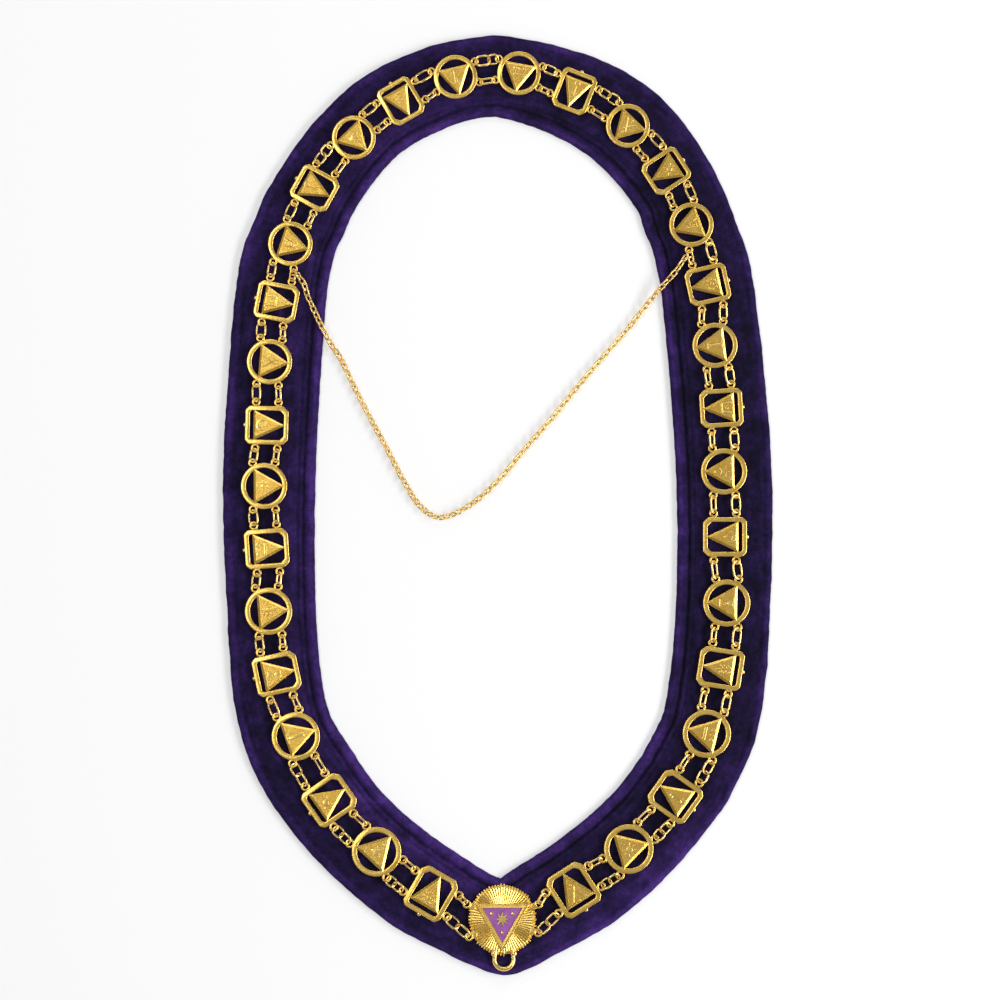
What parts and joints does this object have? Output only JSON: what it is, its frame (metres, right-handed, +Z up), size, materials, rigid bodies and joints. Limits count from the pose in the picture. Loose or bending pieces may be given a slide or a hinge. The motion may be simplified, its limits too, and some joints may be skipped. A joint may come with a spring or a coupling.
{
  "type": "masonic chain collar",
  "caption": "Ceremonial collar of purple velvet with linked gilt square and round plates, a sunburst jewel with a hanging loop at the point and a light chain across the neck.",
  "frame": {"origin": "middle of the collar's outer box, on the surface that it lies on", "axes": "+Z up from the surface, +Y from the pointed front towards the nape, +X to the right as seen from above with the point towards the viewer"},
  "size_m": [0.3034, 0.5185, 0.0093],
  "materials": {
    "velvet": "deep purple velvet with a short pile and a soft sheen",
    "gold": "gilt cast metal, polished high spots and duller recesses",
    "enamel": "glossy lilac enamel"
  },
  "bodies": {
    "root": {"velvet_band": "velvet", "square_plate_left_01": "gold", "round_plate_left_02": "gold", "square_plate_left_03": "gold", "round_plate_left_04": "gold", "square_plate_left_05": "gold", "round_plate_left_06": "gold", "square_plate_left_07": "gold", "round_plate_left_08": "gold", "square_plate_left_09": "gold", "round_plate_left_10": "gold", "square_plate_left_11": "gold", "round_plate_left_12": "gold", "square_plate_left_13": "gold", "round_plate_left_14": "gold", "square_plate_left_15": "gold", "round_plate_left_16": "gold", "square_plate_right_01": "gold", "round_plate_right_02": "gold", "square_plate_right_03": "gold", "round_plate_right_04": "gold", "square_plate_right_05": "gold", "round_plate_right_06": "gold", "square_plate_right_07": "gold", "round_plate_right_08": "gold", "square_plate_right_09": "gold", "round_plate_right_10": "gold", "square_plate_right_11": "gold", "round_plate_right_12": "gold", "square_plate_right_13": "gold", "round_plate_right_14": "gold", "square_plate_right_15": "gold", "round_plate_right_16": "gold", "sunburst_jewel": "gold", "jewel_enamel": "enamel", "jewel_star": "gold", "cross_chain": "gold"}
  },
  "joints": []
}
